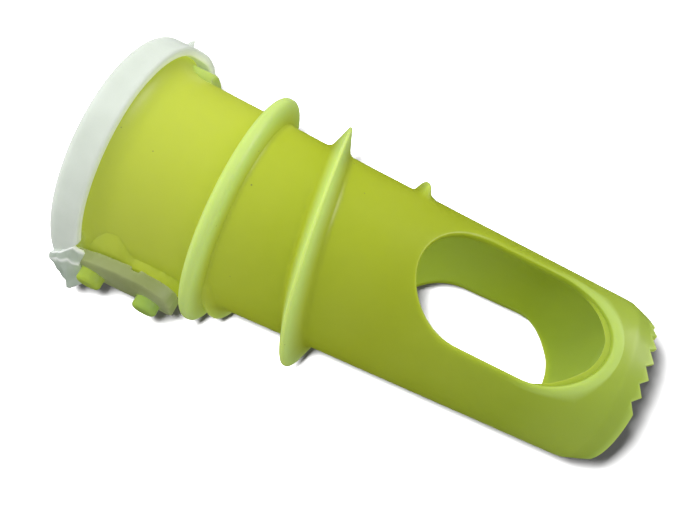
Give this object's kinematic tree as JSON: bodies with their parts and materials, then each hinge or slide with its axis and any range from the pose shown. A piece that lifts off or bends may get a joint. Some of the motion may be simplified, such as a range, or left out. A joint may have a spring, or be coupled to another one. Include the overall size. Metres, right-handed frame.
{
  "type": "screw-in pneumatic vent body",
  "caption": "Tapered plastic screw-in vent body with a coarse thread, stop ring, side windows, saw-toothed tip and a soft hinged flap cap over its mouth.",
  "frame": {"origin": "centre of the flap's outer face, on the bore's axis", "axes": "+X along the bore from the flap to the toothed tip, +Z the outward normal of the upper window, hinge and strap on -Y, pull tab on +Y"},
  "size_m": [0.11, 0.053, 0.051],
  "materials": {
    "lime_plastic": "slightly translucent lime green moulded plastic, satin gloss",
    "milky_plastic": "soft milky translucent plastic, satin"
  },
  "bodies": {
    "vent_body": {"tapered_tube": "lime_plastic", "mouth_collar": "lime_plastic", "toothed_tip": "lime_plastic", "stop_ring": "lime_plastic", "screw_thread": "lime_plastic", "strap_pad": "lime_plastic", "latch_lug": "lime_plastic", "front_strap_peg": "lime_plastic", "rear_strap_peg": "lime_plastic", "retaining_strap": "milky_plastic", "hinge_web": "milky_plastic"},
    "flap": {"flap_cap": "milky_plastic", "pull_tab": "milky_plastic"}
  },
  "joints": [
    {"name": "flap_hinge", "type": "hinge", "parent": "vent_body", "child": "flap", "pos_m": [0.0054, -0.025, 0], "axis": [0, 0, 1], "range_deg": [0, 120], "deforming": ["hinge_web"]}
  ]
}
